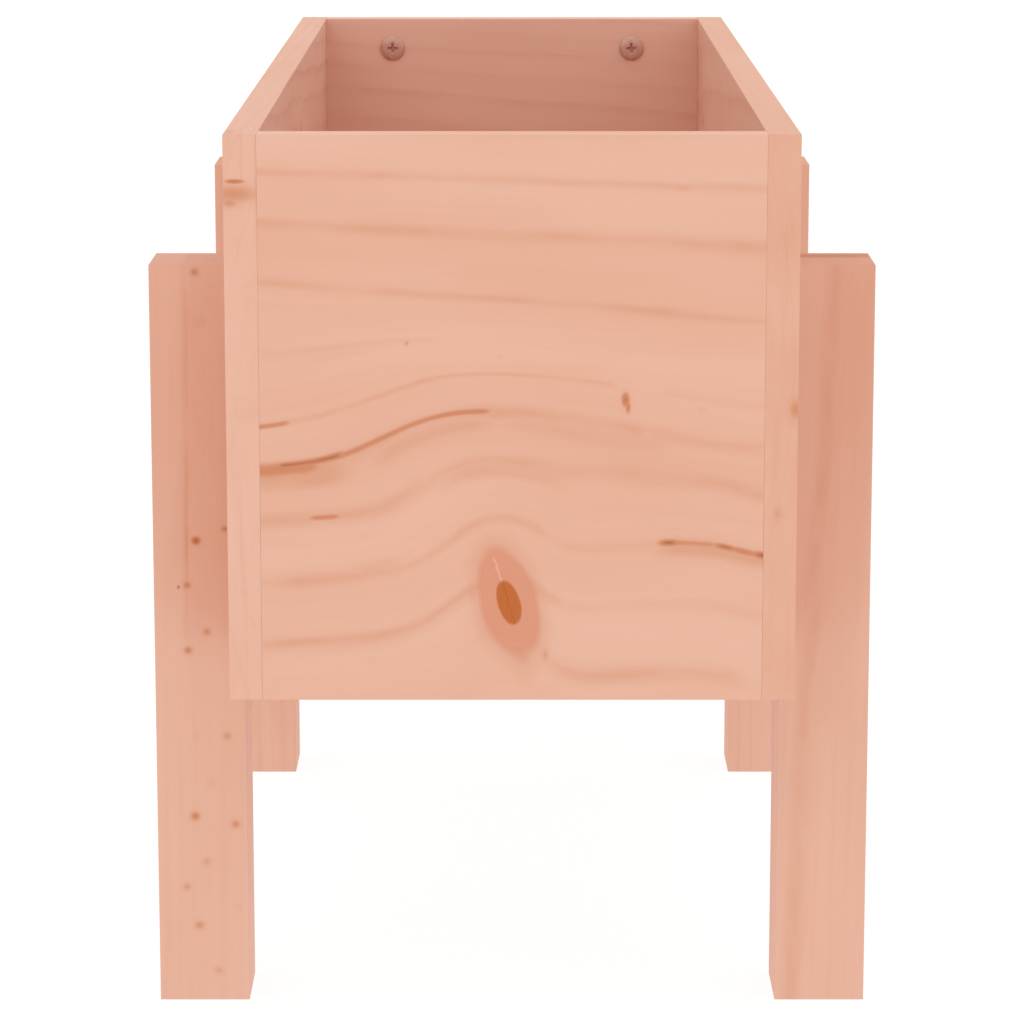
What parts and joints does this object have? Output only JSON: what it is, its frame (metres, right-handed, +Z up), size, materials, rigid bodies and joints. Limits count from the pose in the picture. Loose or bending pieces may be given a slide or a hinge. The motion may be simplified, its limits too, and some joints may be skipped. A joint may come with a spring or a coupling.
{
  "type": "raised planter",
  "caption": "Raised planter: an open wooden trough with a slatted, drained floor, carried clear of the ground on square posts screwed to the outer faces of its long boards.",
  "frame": {"origin": "on the ground, under the middle of the trough", "axes": "+Y along the trough, from the front end to the rear end; +X across it, to the right seen from the front end; +Z up"},
  "size_m": [0.3, 0.62, 0.38],
  "materials": {
    "side_board_wood": "planed softwood with a pinkish tone, matte, unvarnished",
    "end_board_wood": "planed softwood with a pinkish tone, knots and resin streaks, matte, unvarnished",
    "leg_wood": "planed softwood with a pinkish tone, pin knots, matte, unvarnished",
    "cleat_wood": "sawn softwood, matte",
    "slat_wood": "planed softwood, matte",
    "zinc_screw": "zinc plated, satin",
    "rim_screw_bronze": "brown-bronze coating, satin"
  },
  "bodies": {
    "root": {"side_board_left": "side_board_wood", "side_board_right": "side_board_wood", "end_board_front": "end_board_wood", "end_board_rear": "end_board_wood", "leg_front_left": "leg_wood", "leg_front_right": "leg_wood", "leg_rear_left": "leg_wood", "leg_rear_right": "leg_wood", "floor_cleat_left": "cleat_wood", "floor_cleat_right": "cleat_wood", "floor_slat_1": "slat_wood", "floor_slat_2": "slat_wood", "floor_slat_3": "slat_wood", "floor_slat_4": "slat_wood", "floor_slat_5": "slat_wood", "floor_slat_6": "slat_wood", "leg_screw_front_left_lower": "zinc_screw", "leg_screw_front_left_upper": "zinc_screw", "leg_screw_front_right_lower": "zinc_screw", "leg_screw_front_right_upper": "zinc_screw", "leg_screw_rear_left_lower": "zinc_screw", "leg_screw_rear_left_upper": "zinc_screw", "leg_screw_rear_right_lower": "zinc_screw", "leg_screw_rear_right_upper": "zinc_screw", "corner_screw_front_left_1": "zinc_screw", "corner_screw_front_left_2": "zinc_screw", "corner_screw_front_left_3": "zinc_screw", "corner_screw_front_right_1": "zinc_screw", "corner_screw_front_right_2": "zinc_screw", "corner_screw_front_right_3": "zinc_screw", "corner_screw_rear_left_1": "zinc_screw", "corner_screw_rear_left_2": "zinc_screw", "corner_screw_rear_left_3": "zinc_screw", "corner_screw_rear_right_1": "zinc_screw", "corner_screw_rear_right_2": "zinc_screw", "corner_screw_rear_right_3": "zinc_screw", "cleat_screw_left_1": "zinc_screw", "cleat_screw_left_2": "zinc_screw", "cleat_screw_left_3": "zinc_screw", "cleat_screw_left_4": "zinc_screw", "slat_screw_left_1": "zinc_screw", "slat_screw_left_2": "zinc_screw", "slat_screw_left_3": "zinc_screw", "slat_screw_left_4": "zinc_screw", "slat_screw_left_5": "zinc_screw", "slat_screw_left_6": "zinc_screw", "cleat_screw_right_1": "zinc_screw", "cleat_screw_right_2": "zinc_screw", "cleat_screw_right_3": "zinc_screw", "cleat_screw_right_4": "zinc_screw", "slat_screw_right_1": "zinc_screw", "slat_screw_right_2": "zinc_screw", "slat_screw_right_3": "zinc_screw", "slat_screw_right_4": "zinc_screw", "slat_screw_right_5": "zinc_screw", "slat_screw_right_6": "zinc_screw", "rim_screw_front_left": "rim_screw_bronze", "rim_screw_front_right": "rim_screw_bronze", "rim_screw_rear_left": "rim_screw_bronze", "rim_screw_rear_right": "rim_screw_bronze"}
  },
  "joints": []
}
